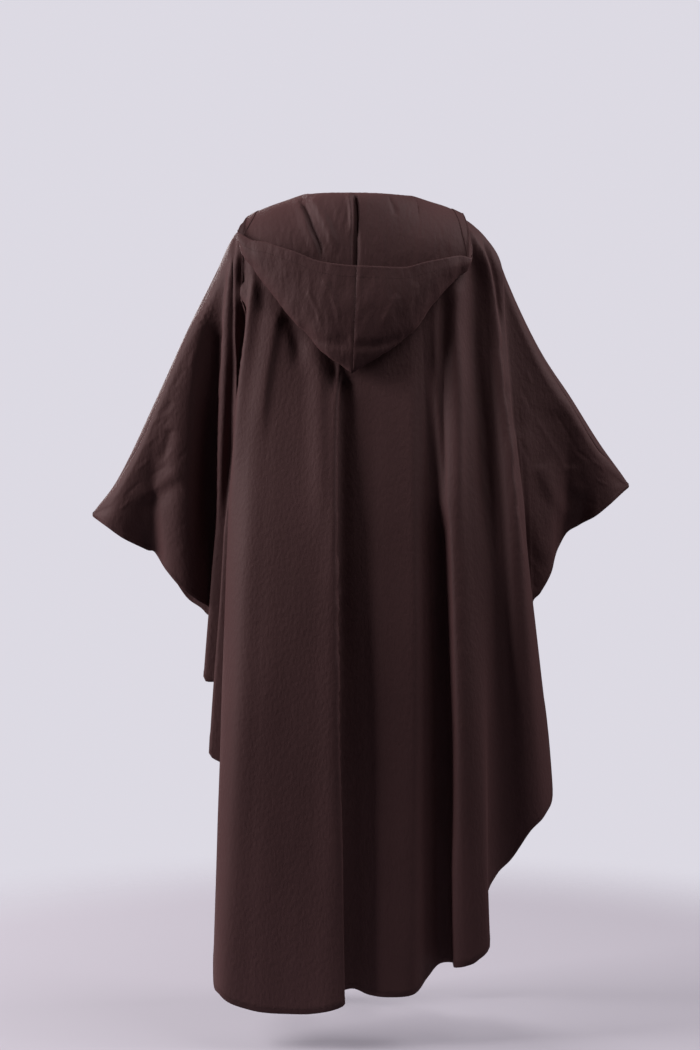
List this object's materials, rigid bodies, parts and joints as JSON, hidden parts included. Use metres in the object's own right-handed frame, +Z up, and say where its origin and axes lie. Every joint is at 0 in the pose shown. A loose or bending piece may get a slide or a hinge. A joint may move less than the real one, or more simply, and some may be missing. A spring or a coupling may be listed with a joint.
{
  "type": "hooded poncho",
  "caption": "Long hooded batwing poncho in its worn shape: back and front panels, hood in two halves with an edge band.",
  "frame": {"origin": "centre of the neck opening, level with the shoulder seams, where the wearer's shoulders carry the cloth", "axes": "+Z up; +Y is the way the wearer faces, so the back panel and the hood are on the -Y side; +X is the wearer's right"},
  "size_m": [0.9404, 0.348, 1.3874],
  "materials": {
    "crepe": "dark brown crepe, satin to matt, with a fine crinkle"
  },
  "bodies": {
    "root": {"back": "crepe", "front": "crepe", "hood_left": "crepe", "hood_right": "crepe", "hood_facing_left": "crepe", "hood_facing_right": "crepe"}
  },
  "joints": []
}
